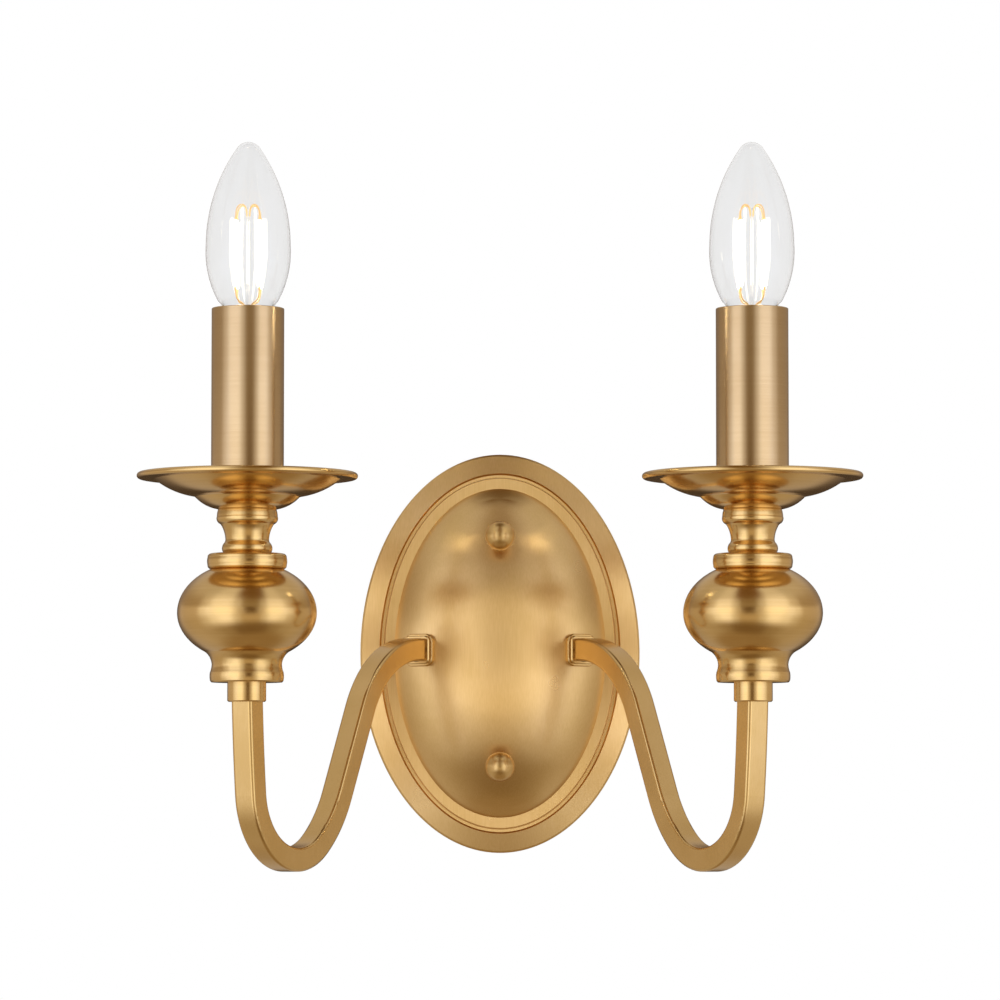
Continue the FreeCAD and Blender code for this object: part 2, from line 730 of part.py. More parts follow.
def neck():
    """The turned neck: bead, hollow waist, groove and a full round under the pan."""
    bead_end = NECK_BEAD_RADIUS - 0.8
    bead_middle = (NECK_BOTTOM + NECK_BEAD_TOP) / 2
    torus_middle = (NECK_GROOVE_Z + PAN_BOTTOM) / 2
    return turned(
        (M10, NECK_BOTTOM),
        (bead_end, NECK_BOTTOM),
        (NECK_BEAD_RADIUS, bead_middle, bead_end, NECK_BEAD_TOP),
        (NECK_WAIST_RADIUS + 0.15, NECK_WAIST_Z - 0.9, NECK_WAIST_RADIUS, NECK_WAIST_Z),
        (NECK_WAIST_RADIUS + 0.4, NECK_WAIST_Z + 2.6, NECK_WAIST_RADIUS + 1.6, NECK_COVE_TOP),
        (NECK_WAIST_RADIUS + 2.1, NECK_GROOVE_Z),
        (NECK_TORUS_RADIUS - 0.3, NECK_GROOVE_Z + 0.9, NECK_TORUS_RADIUS, torus_middle),
        (NECK_TORUS_RADIUS - 0.15, PAN_BOTTOM - 1.6, NECK_TORUS_RADIUS - 0.6, PAN_BOTTOM),
        (M10, PAN_BOTTOM),
    )


def pan_underside():
    """The pan's outer line from its hub to the rim: two bowls, one above the other, a brim."""
    hub = (M10, PAN_BOTTOM)
    steps = [
        LOWER_BOWL[0],
        LOWER_BOWL[1] + LOWER_BOWL[2],
        UPPER_BOWL[0],
        UPPER_BOWL[1] + UPPER_BOWL[2],
        (PAN_RIM_RADIUS - PAN_BEAD, PAN_RIM_Z - PAN_BEAD),
    ]
    return hub, steps


def drip_pan():
    """A spun sheet pan with a wired rim."""
    hub, steps = pan_underside()
    line = profile_wire(hub, steps)
    wall = line.makeOffset2D(PAN_SHEET, 2, True, True)
    bead_centre = Vector(PAN_RIM_RADIUS - PAN_BEAD, 0, PAN_RIM_Z)
    circle = Part.Wire(Part.Circle(bead_centre, Vector(0, 1, 0), PAN_BEAD).toShape())
    section = wall.fuse(Part.Face(circle)).removeSplitter()
    return section.Faces[0].revolve(ORIGIN, UP, FULL)


def dish_height(radius):
    """Height of the pan's upper face at a radius inside its lower bowl."""
    arc = Part.Arc(*[Vector(r, 0, z) for r, z in LOWER_BOWL])
    circle = arc.toShape().Curve
    upper_radius = circle.Radius - PAN_SHEET
    return circle.Center.z - math.sqrt(upper_radius**2 - (radius - circle.Center.x) ** 2)


def candle_tube():
    """The plain candle tube, which stands in the pan's lower bowl on its outer edge."""
    foot = dish_height(TUBE_RADIUS)
    bore = TUBE_RADIUS - TUBE_SHEET
    lip_foot = TUBE_TOP - TUBE_SHEET / 2
    return turned(
        (bore, foot),
        (TUBE_RADIUS, foot),
        (TUBE_RADIUS, lip_foot),
        (TUBE_RADIUS - TUBE_SHEET / 2, TUBE_TOP, bore, lip_foot),
    )


def stem_tube():
    """The threaded tube up the middle of the turned pieces, from collar to lampholder."""
    return tube(M10, M10_BORE, STEM_BOTTOM, STEM_TOP)


def stem_nut():
    """The nut that clamps the pan, neck, ring and knop down on the collar."""
    return hexagon_nut(14.0, 3.0, M10, PAN_FLOOR)


def lampholder():
    """The moulded lampholder body with a cavity for the screw shell."""
    shank = 8.6
    return turned(
        (M10, HOLDER_BOTTOM),
        (shank, HOLDER_BOTTOM),
        (shank, HOLDER_BOTTOM + 10),
        (HOLDER_RADIUS, HOLDER_BOTTOM + 14),
        (HOLDER_RADIUS, HOLDER_TOP),
        (SHELL_RADIUS, HOLDER_TOP),
        (SHELL_RADIUS, HOLDER_FLOOR),
        (HOLDER_BORE, HOLDER_FLOOR),
        (HOLDER_BORE, HOLDER_BORE_FOOT),
        (M10, HOLDER_BORE_FOOT),
    )


def socket_shell():
    """The holder's screw shell, which the lamp cap turns in."""
    opening = HOLDER_BORE + 0.4
    return turned(
        (opening, HOLDER_FLOOR),
        (SHELL_RADIUS, HOLDER_FLOOR),
        (SHELL_RADIUS, SHELL_TOP),
        (SHELL_BORE, SHELL_TOP),
        (SHELL_BORE, HOLDER_FLOOR + 1),
        (opening, HOLDER_FLOOR + 1),
    )


def socket_contact():
    """The sprung centre contact: a foot in the holder's bore, a stem and a crowned button."""
    stem = 1.6
    button = 2.6
    button_foot = PIP_BOTTOM - 1.6
    return turned(
        (0, CONTACT_FOOT),
        (HOLDER_BORE, CONTACT_FOOT),
        (HOLDER_BORE, CONTACT_FOOT + 1.2),
        (stem, CONTACT_FOOT + 1.2),
        (stem, button_foot),
        (button, button_foot),
        (button, button_foot + 0.6),
        (button / 2, PIP_BOTTOM - 0.4),
        (0, PIP_BOTTOM - 0.2),
    )


def lamp_glass():
    """The clear candle-shaped bulb, a thin wall closed at the tip."""
    tip = (0, LAMP_TOP)
    line = profile_wire(
        tip,
        [
            (2.6, LAMP_TOP - 0.6, 4.3, LAMP_TOP - 1.9),
            (12.7, 189.9, LAMP_RADIUS, LAMP_WIDEST_Z),
            (16.4, 151.6, 12.4, 141.2),
            (8.9, 136.2, GLASS_FOOT_RADIUS, GLASS_FOOT),
        ],
    )
    wall = line.makeOffset2D(-GLASS_WALL, 0, True, True)
    return wall.revolve(ORIGIN, UP, FULL)


def lamp_cap():
    """The lamp's metal screw cap: a thin shell with a flared lip that holds the glass."""
    mouth = CAP_RADIUS - 1.8
    return turned(
        (mouth, CAP_BOTTOM),
        (CAP_RADIUS - 0.9, CAP_BOTTOM),
        (CAP_RADIUS, CAP_BOTTOM + 1.6),
        (CAP_RADIUS, CAP_TOP - 3),
        (CAP_LIP, CAP_TOP - 1.2),
        (CAP_LIP, CAP_TOP),
        (CAP_LIP - CAP_SHEET, CAP_TOP),
        (CAP_LIP - CAP_SHEET, CAP_TOP - 1.2),
        (CAP_RADIUS - CAP_SHEET, CAP_TOP - 3 - CAP_SHEET),
        (CAP_RADIUS - CAP_SHEET, CAP_BOTTOM + 1.9),
        (mouth, CAP_BOTTOM + CAP_SHEET),
    )


def lamp_insulator():
    """The black glass cone between the cap and the centre contact."""
    return turned(
        (0, PIP_BOTTOM + 1.2),
        (2.6, PIP_BOTTOM + 1.2),
        (4.6, CAP_BOTTOM - 0.3),
        (5.2, CAP_BOTTOM - 0.3),
        (5.2, CAP_BOTTOM),
        (0, CAP_BOTTOM),
    )


def lamp_contact():
    return turned(
        (0, PIP_BOTTOM),
        (1.4, PIP_BOTTOM + 0.3, 2.3, PIP_BOTTOM + 1.2),
        (0, PIP_BOTTOM + 1.2),
    )


def support_wires(z):
    """Crossed wires that reach from the post to every light strip at one height."""
    reach = FILAMENT_CIRCLE + FILAMENT_RADIUS / 2
    wires = []
    for angle in (45, 135):
        wire = Part.makeCylinder(WIRE_RADIUS, 2 * reach, Vector(-reach, 0, z), Vector(1, 0, 0))
        wire.rotate(ORIGIN, UP, angle)
        wires.append(wire)
    return wires


def lamp_mount():
    """The glass stem inside the lamp: a flare at the cap, a pinch, a thin post and its wires."""
    flare = GLASS_FOOT_RADIUS - GLASS_WALL
    pinch = 2.9
    pinch_top = FILAMENT_BOTTOM - 4
    strip_top = FILAMENT_BOTTOM + FILAMENT_LENGTH
    stem = turned(
        (0, GLASS_FOOT),
        (flare, GLASS_FOOT),
        (3.4, 132.6, pinch, 137.0),
        (pinch, pinch_top),
        (POST_RADIUS, pinch_top + 3),
        (POST_RADIUS, strip_top + 3),
        (0, strip_top + 3),
    )
    wires = support_wires(strip_top + WIRE_RADIUS) + support_wires(FILAMENT_BOTTOM - WIRE_RADIUS)
    return stem.multiFuse(wires)


def lamp_filaments():
    """Four upright light strips round the post, each in its soft coating."""
    rods = []
    for index in range(FILAMENTS):
        angle = math.radians(45 + 90 * index)
        foot = Vector(
            FILAMENT_CIRCLE * math.cos(angle), FILAMENT_CIRCLE * math.sin(angle), FILAMENT_BOTTOM
        )
        rods.append(Part.makeCylinder(FILAMENT_RADIUS, FILAMENT_LENGTH, foot))
    return Part.makeCompound(rods)


def flex_route(side):
    """Corner points of a flex behind the plate, from the arm's thread to the terminal block."""
    heading = arm_heading(side)
    mouth = arm_root(side) - heading * ARM_THREAD_LENGTH
    turn_point = mouth - heading * FLEX_RUN
    end = Vector(side * BLOCK_HALF_WIDTH, -(STRAP_SHEET + BLOCK_DEPTH / 2), BLOCK_POLES[1])
    beside_block = end + Vector(side * FLEX_RUN, 0, 0)
    return [mouth, turn_point, beside_block, end]


def round_route(points, radius):
    """A round lead along straight runs, with a tangent bend at every corner."""
    bends = []
    for before, corner, after in zip(points, points[1:], points[2:]):
        one = corner - before
        two = after - corner
        turn = one.getAngle(two)
        bend = 0.45 * min(one.Length, two.Length) / math.tan(turn / 2)
        set_back = bend * math.tan(turn / 2)
        start = corner - one.normalize() * set_back
        normal = one.cross(two).normalize()
        centre = start + normal.cross(one) * bend
        end = corner + two.normalize() * set_back
        bends.append((start, end, centre, normal, math.degrees(turn), bend))
    lengths = []
    here = points[0]
    for start, end, centre, normal, turn, bend in bends:
        run = start - here
        lengths.append(Part.makeCylinder(radius, run.Length, here, run))
        face = Part.Face(Part.Wire(Part.Circle(start, run, radius).toShape()))
        lengths.append(face.revolve(centre, normal, turn))
        here = end
    last = points[-1] - here
    lengths.append(Part.makeCylinder(radius, last.Length, here, last))
    return lengths, [bend[-1] for bend in bends]


def arm_flex(side):
    """The lead through an arm, from the terminal block to the lampholder."""
    centre = Vector(-ARM_THREAD_LENGTH, 0, ARM_ROOT_Z)
    face = Part.Face(Part.Wire(Part.Circle(centre, Vector(1, 0, 0), FLEX_RADIUS).toShape()))
    _, rise_end = arm_reach()
    runs = arm_runs() + [(CONTACT_FOOT - rise_end,)]
    runs[0] = (ARM_LEVEL_RUN + ARM_THREAD_LENGTH,)
    inside_arm = to_arm(sweep_runs(face, centre, 0.0, runs), side)
    behind, radii = round_route(flex_route(side), FLEX_RADIUS)
    lead = inside_arm.multiFuse(behind)
    print("flex bends", [round(radius, 1) for radius in radii])
    return lead


def build():
    os.makedirs(OUT, exist_ok=True)
    outside = plate_outside()
    inside = plate_inside()
    save(back_plate(outside, inside), "back_plate")
    save(wall_bracket(), "wall_bracket")
    save(bracket_studs(), "bracket_studs")
    save(stud_lock_nuts(), "stud_lock_nuts")
    save(nut_seats(outside), "nut_seats")
    save(earth_terminal(), "earth_terminal")
    save(terminal_block(), "terminal_block")
    save(terminal_screws(), "terminal_screws")
    for name, end in HEIGHTS.items():
        save(nut_washer(end), "nut_washer_" + name)
        save(ball_nut(end), "ball_nut_" + name)
    stack = {
        "knop": knop(),
        "knop_ring": knop_ring(),
        "neck": neck(),
        "drip_pan": drip_pan(),
        "candle_tube": candle_tube(),
        "stem_tube": stem_tube(),
        "stem_nut": stem_nut(),
        "lampholder": lampholder(),
        "socket_shell": socket_shell(),
        "socket_contact": socket_contact(),
        "lamp_glass": lamp_glass(),
        "lamp_cap": lamp_cap(),
        "lamp_insulator": lamp_insulator(),
        "lamp_contact": lamp_contact(),
        "lamp_mount": lamp_mount(),
        "lamp_filaments": lamp_filaments(),
    }
    for name, side in SIDES.items():
        save(arm(side), "arm_" + name)
        save(ferrule(side, outside), "arm_ferrule_" + name)
        save(arm_collar(side), "arm_collar_" + name)
        save(arm_flex(side), "arm_flex_" + name)
        for piece, shape in stack.items():
            save(on_axis(shape, side), piece + "_" + name)
    both = list(SIDES.values())
    save(Part.makeCompound([arm_nipple(side) for side in both]), "arm_nipples")
    save(Part.makeCompound([arm_washer(side, inside) for side in both]), "arm_washers")
    save(Part.makeCompound([arm_lock_nut(side) for side in both]), "arm_lock_nuts")


build()
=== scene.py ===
import math

import bpy
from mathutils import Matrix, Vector


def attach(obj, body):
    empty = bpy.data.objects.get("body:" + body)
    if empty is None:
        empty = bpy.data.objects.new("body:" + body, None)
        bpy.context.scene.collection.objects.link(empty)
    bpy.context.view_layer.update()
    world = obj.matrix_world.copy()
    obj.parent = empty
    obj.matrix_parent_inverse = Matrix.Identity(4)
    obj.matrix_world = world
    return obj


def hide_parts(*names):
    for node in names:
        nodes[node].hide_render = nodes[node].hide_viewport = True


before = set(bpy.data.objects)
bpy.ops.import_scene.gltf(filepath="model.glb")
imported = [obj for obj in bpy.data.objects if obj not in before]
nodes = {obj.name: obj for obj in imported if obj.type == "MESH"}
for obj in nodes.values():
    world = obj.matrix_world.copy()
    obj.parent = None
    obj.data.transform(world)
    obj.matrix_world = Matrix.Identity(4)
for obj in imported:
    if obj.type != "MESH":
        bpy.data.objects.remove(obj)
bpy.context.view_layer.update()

# The looks of a double arm wall sconce: camera, studio light, materials and the finer pieces.
# X is to the right, Y into the wall and Z up, from an origin on the wall. The camera and the
# studio are in metres. Pieces are modelled in millimetres, and MM turns those into metres.

MM = 0.001
SIDES = {"left": -1, "right": 1}
ENDS = {"upper": 1, "lower": -1}

# The sconce's main lines, in mm: candle axes, where the arms leave the plate, the studs'
# height above and below the origin, and the circle that a lamp's strips stand on
CANDLE_X = 104.154
CANDLE_Y = -137.176
ARM_ROOT = Vector((34.5, -22.751, 0.8))
ARM_SPREAD = math.radians(58.67)
STUD_HEIGHT = 50
STRIP_CIRCLE = 6.9

NUT_PIECES = ["nut_seats"]
NUT_PIECES += [kind + "_" + end for kind in ("nut_washer", "ball_nut") for end in ENDS]
PLATE_PIECES = ["back_plate", "nut_seats"]


# Camera, at the photograph's viewing angle

CAMERA_PLACE = (0, -2.137, -0.07075)
CAMERA_TILT = math.radians(3.708)
LENS = 175
SENSOR_WIDTH = 36


def place_camera():
    bpy.ops.object.camera_add(location=CAMERA_PLACE, rotation=(math.pi / 2 + CAMERA_TILT, 0, 0))
    camera = bpy.context.object
    camera.name = "camera"
    camera.data.lens = LENS
    camera.data.sensor_width = SENSOR_WIDTH
    bpy.context.scene.camera = camera


# Shared shader groups and small node helpers


def group(name, inputs, outputs):
    """A shader group with named sockets. Returns its tree and its input and output nodes."""
    tree = bpy.data.node_groups.new(name, "ShaderNodeTree")
    for in_out, sockets in (("INPUT", inputs), ("OUTPUT", outputs)):
        for label, kind in sockets:
            tree.interface.new_socket(label, in_out=in_out, socket_type=kind)
    start = tree.nodes.new("NodeGroupInput")
    end = tree.nodes.new("NodeGroupOutput")
    return tree, start, end


def maths(tree, operation, first, second=None, clamp=False):
    """A maths node; each side is a socket or a number. Returns its output."""
    node = tree.nodes.new("ShaderNodeMath")
    node.operation = operation
    node.use_clamp = clamp
    for index, value in enumerate((first, second)):
        if isinstance(value, bpy.types.NodeSocket):
            tree.links.new(value, node.inputs[index])
        elif value is not None:
            node.inputs[index].default_value = value
    return node.outputs["Value"]


def blended(tree, fac, one, other):
    """Mixes two colours, each a socket or three numbers."""
    node = tree.nodes.new("ShaderNodeMix")
    node.data_type = "RGBA"
    for label, value in (("A", one), ("B", other)):
        socket = [s for s in node.inputs if s.name == label and s.type == "RGBA"][0]
        if isinstance(value, bpy.types.NodeSocket):
            tree.links.new(value, socket)
        else:
            socket.default_value = (*value, 1)
    factor = [s for s in node.inputs if s.name == "Factor" and s.type == "VALUE"][0]
    tree.links.new(fac, factor)
    return [s for s in node.outputs if s.type == "RGBA"][0]


def ranged(tree, value, low, high, start=0.0, end=1.0, smooth=False):
    """Runs from start to end as the value runs from low to high."""
    node = tree.nodes.new("ShaderNodeMapRange")
    if smooth:
        node.interpolation_type = "SMOOTHSTEP"
    node.inputs["From Min"].default_value = low
    node.inputs["From Max"].default_value = high
    node.inputs["To Min"].default_value = start
    node.inputs["To Max"].default_value = end
    tree.links.new(value, node.inputs["Value"])
    return node.outputs["Result"]


def mixed_shader(tree, fac, one, other, output):
    """Shows one shader where fac is 0 and the other where it is 1."""
    mix = tree.nodes.new("ShaderNodeMixShader")
    for value, socket in zip((fac, one, other), mix.inputs):
        tree.links.new(value, socket)
    tree.links.new(mix.outputs["Shader"], output.inputs["Surface"])


def object_place(tree):
    return tree.nodes.new("ShaderNodeTexCoord").outputs["Object"]


# Studio: pale floor, soft lamps, and a round tent that only polished surfaces see

FLOOR_HEIGHT = -0.35
FLOOR_RADIUS = 1.5
FLOOR_COLOUR = (0.8, 0.78, 0.74, 1)
WHITE = (1, 1, 1, 1)
WORLD_LEVEL = (0.6, 0.6, 0.6, 1)
TENT_LEVEL = 1.8
TENT_RADIUS = 0.75

# Colours round the tent, by degrees from straight in front to straight behind
FRONT = [
    (0, (0.14, 0.085, 0.035)),
    (5, (0.18, 0.11, 0.05)),
    (13, (0.68, 0.62, 0.56)),
    (30, (1.62, 1.66, 1.8)),
    (42, (1.62, 1.66, 1.8)),
    (56, (1.4, 1.46, 1.76)),
    (66, (1.14, 1.14, 1.24)),
    (80, (0.66, 0.58, 0.5)),
    (115, (0.6, 0.51, 0.41)),
    (140, (0.36, 0.29, 0.23)),
    (180, (0.2, 0.15, 0.11)),
]
LOW_FRONT = [
    (0, (0.62, 0.51, 0.37)),
    (10, (0.62, 0.51, 0.37)),
    (19, (0.88, 0.85, 0.83)),
    (30, (1.44, 1.48, 1.7)),
    (38, (1.44, 1.48, 1.7)),
    (52, (1.17, 1.19, 1.32)),
    (66, (0.78, 0.74, 0.72)),
    (80, (0.58, 0.5, 0.4)),
    (115, (0.52, 0.44, 0.34)),
    (140, (0.32, 0.26, 0.2)),
    (180, (0.2, 0.15, 0.11)),
]
HIGH_FRONT = [
    (0, (0.34, 0.26, 0.17)),
    (8, (0.36, 0.28, 0.18)),
    (19, (0.84, 0.83, 0.87)),
    (29, (1.34, 1.38, 1.6)),
    (48, (1.34, 1.38, 1.6)),
    (62, (0.8, 0.76, 0.76)),
    (78, (0.46, 0.38, 0.3)),
    (115, (0.42, 0.34, 0.26)),
    (140, (0.3, 0.24, 0.19)),
    (180, (0.2, 0.15, 0.11)),
]
ABOVE = [
    (0, (0.2, 0.11, 0.04)),
    (13, (0.22, 0.12, 0.05)),
    (30, (0.84, 0.83, 0.86)),
    (40, (0.84, 0.83, 0.86)),
    (62, (0.66, 0.64, 0.64)),
    (84, (0.66, 0.62, 0.6)),
    (112, (0.6, 0.55, 0.5)),
    (180, (0.6, 0.55, 0.5)),
]
BELOW = [
    (0, (0.24, 0.16, 0.08)),
    (20, (0.25, 0.17, 0.09)),
    (42, (0.4, 0.32, 0.22)),
    (72, (0.52, 0.45, 0.37)),
    (100, (0.56, 0.49, 0.41)),
    (130, (0.52, 0.46, 0.4)),
    (180, (0.52, 0.46, 0.4)),
]
OVERHEAD = (0.14, 0.08, 0.03)
UNDERFOOT = (0.38, 0.28, 0.17)

# The heights, as parts of the tent's radius, between which each of them takes over from FRONT
BANDS = [
    (0.05, -0.25, LOW_FRONT),
    (0.13, 0.22, HIGH_FRONT),
    (0.3, 0.68, ABOVE),
    (-0.3, -0.65, BELOW),
]
CAPS = [(0.89, 0.98, OVERHEAD), (-0.78, -0.95, UNDERFOOT)]

# A dark patch straight behind: its middle height, how it fades up and down, and round
BEHIND = (0.07, 0.045, 0.025)
BEHIND_HEIGHT = -0.15
BEHIND_REACH = (0.42, 0.22)
BEHIND_TURN = (0.68, 0.9)


def ramp(tree, fac, stops):
    """A colour ramp over half a turn, from stops at given degrees."""
    node = tree.nodes.new("ShaderNodeValToRGB")
    node.color_ramp.interpolation = "EASE"
    elements = node.color_ramp.elements
    while len(elements) < len(stops):
        elements.new(0.5)
    for element, (degrees, colour) in zip(elements, stops):
        element.position = degrees / 180
        element.color = (*[channel / TENT_LEVEL for channel in colour], 1)
    tree.links.new(fac, node.inputs["Fac"])
    return node.outputs["Color"]


def tent_glow():
    material = bpy.data.materials.new("tent_glow")
    material.use_nodes = True
    tree = material.node_tree
    tree.nodes.clear()
    output = tree.nodes.new("ShaderNodeOutputMaterial")
    glow = tree.nodes.new("ShaderNodeEmission")
    glow.inputs["Strength"].default_value = TENT_LEVEL
    tree.links.new(glow.outputs["Emission"], output.inputs["Surface"])
    heading = tree.nodes.new("ShaderNodeVectorMath")
    heading.operation = "NORMALIZE"
    tree.links.new(object_place(tree), heading.inputs[0])
    parts = tree.nodes.new("ShaderNodeSeparateXYZ")
    tree.links.new(heading.outputs["Vector"], parts.inputs["Vector"])
    x, y, height = (parts.outputs[label] for label in "XYZ")
    toward = maths(tree, "MULTIPLY", y, -1.0)
    turn = maths(tree, "ARCTAN2", maths(tree, "ABSOLUTE", x), toward)
    around = maths(tree, "DIVIDE", turn, math.pi)
    level = ramp(tree, around, FRONT)
    for start, end, stops in BANDS:
        mask = ranged(tree, height, start, end, smooth=True)
        level = blended(tree, mask, level, ramp(tree, around, stops))
    off_level = maths(tree, "ABSOLUTE", maths(tree, "SUBTRACT", height, BEHIND_HEIGHT))
    behind = maths(
        tree,
        "MULTIPLY",
        ranged(tree, off_level, *BEHIND_REACH, smooth=True),
        ranged(tree, around, *BEHIND_TURN, smooth=True),
    )
    patches = [(behind, BEHIND)]
    for start, end, colour in CAPS:
        patches.append((ranged(tree, height, start, end, smooth=True), colour))
    for mask, colour in patches:
        level = blended(tree, mask, level, [channel / TENT_LEVEL for channel in colour])
    tree.links.new(level, glow.inputs["Color"])
    return material


def reflection_tent():
    """A glowing ball round the sconce that only reflections show."""
    bpy.ops.mesh.primitive_uv_sphere_add(segments=32, ring_count=16, radius=TENT_RADIUS)
    tent = bpy.context.object
    tent.name = "tent"
    tent.data.materials.append(tent_glow())
    tent.visible_camera = False
    tent.visible_diffuse = False
    tent.visible_transmission = False
    tent.visible_shadow = False


def soft_lamp(name, centre, width, height, brightness):
    """A soft box that faces the wall, and that reflections leave out."""
    bpy.ops.object.light_add(type="AREA", location=centre, rotation=(math.pi / 2, 0, 0))
    lamp = bpy.context.object
    lamp.name = name
    lamp.data.shape = "RECTANGLE"
    lamp.data.size = width
    lamp.data.size_y = height
    lamp.data.energy = brightness * math.pi * width * height
    lamp.visible_camera = False
    lamp.visible_transmission = False
    lamp.visible_glossy = False
    return lamp


def pale_floor():
    """A round floor that shows from above and not from below."""
    bpy.ops.mesh.primitive_circle_add(
        vertices=96, radius=FLOOR_RADIUS, fill_type="NGON", location=(0, 0, FLOOR_HEIGHT)
    )
    floor = bpy.context.object
    floor.name = "floor"
    floor.visible_glossy = False
    material = bpy.data.materials.new("pale_floor")
    material.use_nodes = True
    tree = material.node_tree
    surface = tree.nodes["Principled BSDF"]
    surface.inputs["Base Color"].default_value = FLOOR_COLOUR
    surface.inputs["Roughness"].default_value = 0.9
    below = tree.nodes.new("ShaderNodeNewGeometry").outputs["Backfacing"]
    clear = tree.nodes.new("ShaderNodeBsdfTransparent").outputs["BSDF"]
    mixed_shader(tree, below, surface.outputs["BSDF"], clear, tree.nodes["Material Output"])
    floor.data.materials.append(material)


def white_world():
    """White where it is seen, directly, through glass or mirrored, and a plain level elsewhere."""
    world = bpy.data.worlds.new("world")
    bpy.context.scene.world = world
    world.use_nodes = True
    tree = world.node_tree
    tree.nodes.clear()
    output = tree.nodes.new("ShaderNodeOutputWorld")
    path = tree.nodes.new("ShaderNodeLightPath")
    seen = maths(tree, "ADD", path.outputs["Is Camera Ray"], path.outputs["Is Glossy Ray"])
    seen_all = maths(tree, "ADD", seen, path.outputs["Is Transmission Ray"], clamp=True)
    shades = []
    for colour in (WORLD_LEVEL, WHITE):
        shade = tree.nodes.new("ShaderNodeBackground")
        shade.inputs["Color"].default_value = colour
        shades.append(shade.outputs["Background"])
    mixed_shader(tree, seen_all, *shades, output)


def studio():
    white_world()
    pale_floor()
    reflection_tent()
    for label, side in SIDES.items():
        place = (side * 1.2, -1.0, 0.25)
        soft_lamp("soft_lamp_" + label, place, width=1.6, height=1.9, brightness=0.8)

    # This lamp is for the back plate and its seats, which also mirror it
    fill = soft_lamp("plate_fill", (0, -0.42, 0.01), width=1.1, height=0.3, brightness=0.37)
    fill.data.color = (1, 0.97, 0.88)
    fill.visible_glossy = True
    lit = bpy.data.collections.new("plate_and_seats")
    for name in PLATE_PIECES:
        lit.objects.link(nodes[name])
    fill.light_linking.receiver_collection = lit


# Materials

AROUND_SLOWNESS = 0.02
MARK_SCALE = 2500
PATCH_SCALE = 35
RELIEF_DEPTH = 0.2 * MM
PATCH_SPAN = (0.3, 0.7)
STREAK_SPAN = (0.35, 0.65)
STREAKS = 0.3
COAT = 0.25
COAT_ROUGHNESS = 0.12
PLAIN_DARKENING = 0.06
PLAIN_BUMP = 0.05
GLASS_BENDING = 1.36

BRASS = (0.735, 0.49, 0.195)
BRASS_AGED = (0.665, 0.43, 0.15)
# The candle tubes' brass is paler than BRASS, which is its own tone, and darker, which is painted
# shade
SLEEVE_BRASS = (0.63, 0.45, 0.24)
SLEEVE_AGED = (0.58, 0.4, 0.2)
# The plate's brass is a shade lighter than BRASS, which is painted light
PLATE_BRASS = (0.76, 0.515, 0.22)
PLATE_AGED = (0.68, 0.445, 0.165)
STRIP_GLOW = (1.0, 0.92, 0.72)
STRIP_EDGE = (0.03, 0.025, 0.015)
STRIP_BRIGHTNESS = 12
STRIP_COATING = (0.9, 0.7, 0.3, 1)
# A painted glow for the lead wires, which are no lamp
PAINTED_WIRE_GLOW = (1.0, 0.66, 0.3, 1)


def about_axis_group():
    """Coordinates that change with radius and height about an axis, and slowly round it."""
    tree, start, end = group(
        "about_axis", [("Position", "NodeSocketVector")], [("Around", "NodeSocketVector")]
    )
    parts = tree.nodes.new("ShaderNodeSeparateXYZ")
    tree.links.new(start.outputs["Position"], parts.inputs["Vector"])
    x, y, z = (parts.outputs[label] for label in "XYZ")
    across = maths(tree, "ADD", maths(tree, "MULTIPLY", x, x), maths(tree, "MULTIPLY", y, y))
    join = tree.nodes.new("ShaderNodeCombineXYZ")
    tree.links.new(maths(tree, "SQRT", across), join.inputs["X"])
    tree.links.new(maths(tree, "MULTIPLY", y, AROUND_SLOWNESS), join.inputs["Y"])
    tree.links.new(z, join.inputs["Z"])
    tree.links.new(join.outputs["Vector"], end.inputs["Around"])
    return tree


def satin_group():
    """Fine marks along stretched coordinates, and slow patches over the surface."""
    tree, start, end = group(
        "satin",
        [("Marks", "NodeSocketVector"), ("Place", "NodeSocketVector")],
        [("Height", "NodeSocketFloat"), ("Patches", "NodeSocketFloat")],
    )
    marks = tree.nodes.new("ShaderNodeTexNoise")
    marks.inputs["Scale"].default_value = MARK_SCALE
    marks.inputs["Detail"].default_value = 4
    marks.inputs["Roughness"].default_value = 0.6
    tree.links.new(start.outputs["Marks"], marks.inputs["Vector"])
    patches = tree.nodes.new("ShaderNodeTexNoise")
    patches.inputs["Scale"].default_value = PATCH_SCALE
    patches.inputs["Detail"].default_value = 3
    tree.links.new(start.outputs["Place"], patches.inputs["Vector"])
    tree.links.new(marks.outputs["Fac"], end.inputs["Height"])
    tree.links.new(patches.outputs["Fac"], end.inputs["Patches"])
    return tree


about_axis = about_axis_group()
satin = satin_group()


def place_group(tree, kind):
    node = tree.nodes.new("ShaderNodeGroup")
    node.node_tree = kind
    return node


def new_surface(name):
    material = bpy.data.materials.new(name)
    material.use_nodes = True
    tree = material.node_tree
    return material, tree, tree.nodes["Principled BSDF"]


def relief(tree, surface, height, strength):
    bump = tree.nodes.new("ShaderNodeBump")
    bump.inputs["Strength"].default_value = strength
    bump.inputs["Distance"].default_value = RELIEF_DEPTH
    tree.links.new(height, bump.inputs["Height"])
    tree.links.new(bump.outputs["Normal"], surface.inputs["Normal"])


